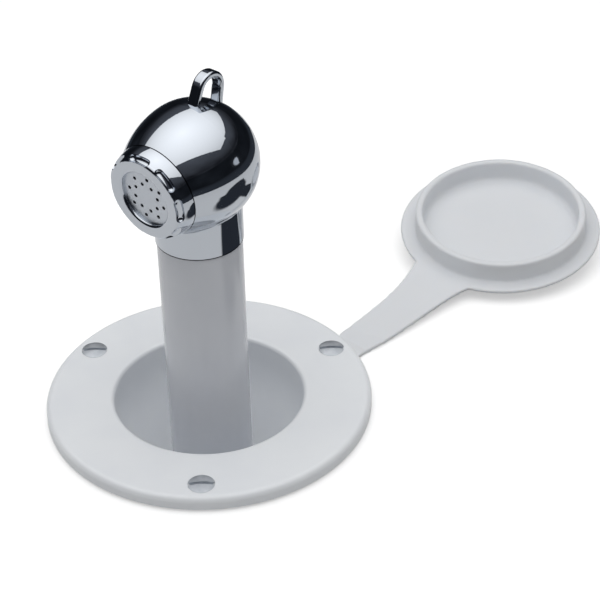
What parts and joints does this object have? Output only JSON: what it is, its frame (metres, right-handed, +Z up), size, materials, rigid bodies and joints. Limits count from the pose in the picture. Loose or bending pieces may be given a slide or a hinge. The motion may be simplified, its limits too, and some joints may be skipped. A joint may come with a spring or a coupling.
{
  "type": "deck hand shower",
  "caption": "Recessed deck hand shower: chrome ball head with push button on a white handle, standing in a white flanged cup with a tethered soft cap.",
  "frame": {"origin": "centre of the screw circle in the deck plane, under the flange's gasket", "axes": "+Z up out of the deck along the cup's axis; +X towards the screw that holds the tether"},
  "size_m": [0.2506, 0.133, 0.3813],
  "materials": {
    "white_plastic": "smooth moulded white, low gloss",
    "soft_white": "soft white vinyl, fine satin",
    "chrome_plate": "bright chrome plate on plastic",
    "satin_chrome": "satin chrome plate",
    "chromed_brass": "chrome plate on turned brass",
    "stainless": "turned stainless steel",
    "spring_steel": "drawn stainless wire",
    "brass": "turned brass",
    "grey_foam": "closed cell foam",
    "black_rubber": "moulded rubber",
    "black_plastic": "fine matt moulded plastic",
    "inner_plastic": "natural moulded plastic"
  },
  "bodies": {
    "housing": {"deck_cup": "white_plastic", "handle_pocket": "white_plastic", "deck_gasket": "grey_foam", "flange_screws": "stainless", "guide_ring": "soft_white", "hose_guide": "black_plastic", "guide_nut": "black_plastic"},
    "tether": {"tether_tab": "soft_white"},
    "cap": {"plug_cap": "soft_white"},
    "inlet": {"hose_inlet": "chromed_brass", "inlet_o_ring": "black_rubber"},
    "handset": {"handle_sleeve": "white_plastic", "swivel_nut": "brass", "swivel_bush": "black_plastic", "water_tube": "inner_plastic", "tube_seal": "black_rubber", "head_shell": "chrome_plate", "hanging_eye": "chrome_plate", "valve_body": "inner_plastic", "nozzle_ring": "chrome_plate", "spray_plate": "satin_chrome", "plate_seal": "black_rubber", "valve_seat": "brass", "gland": "brass", "stem_seal": "black_rubber", "button_bezel": "chrome_plate", "button_spring": "spring_steel"},
    "button": {"push_button": "chrome_plate", "valve_stem": "brass", "valve_washer": "black_rubber"}
  },
  "joints": [
    {"name": "handset_lift", "type": "slide", "parent": "housing", "child": "inlet", "axis": [0, 0, 1], "range_m": [-0.1323, 0.09]},
    {"name": "handset_turn", "type": "hinge", "parent": "inlet", "child": "handset", "pos_m": [0, 0, -0.0708], "axis": [0, 0, 1], "continuous": true},
    {"name": "button_press", "type": "slide", "parent": "handset", "child": "button", "axis": [-0.9269, -0.367, -0.0785], "range_m": [0, 0.003], "stiffness_N_per_m": 1500, "springref_m": -0.004, "deforming": ["button_spring"]},
    {"name": "tether_swing", "type": "hinge", "parent": "housing", "child": "tether", "pos_m": [0.052, 0, 0.001], "axis": [0, 0, 1], "range_deg": [-45.3, 8.7]},
    {"name": "tether_fold", "type": "hinge", "parent": "tether", "child": "cap", "pos_m": [0.06577, 0.00455, 0.001], "axis": [0.314, -0.9494, 0], "range_deg": [-5.1, 84.9]}
  ]
}
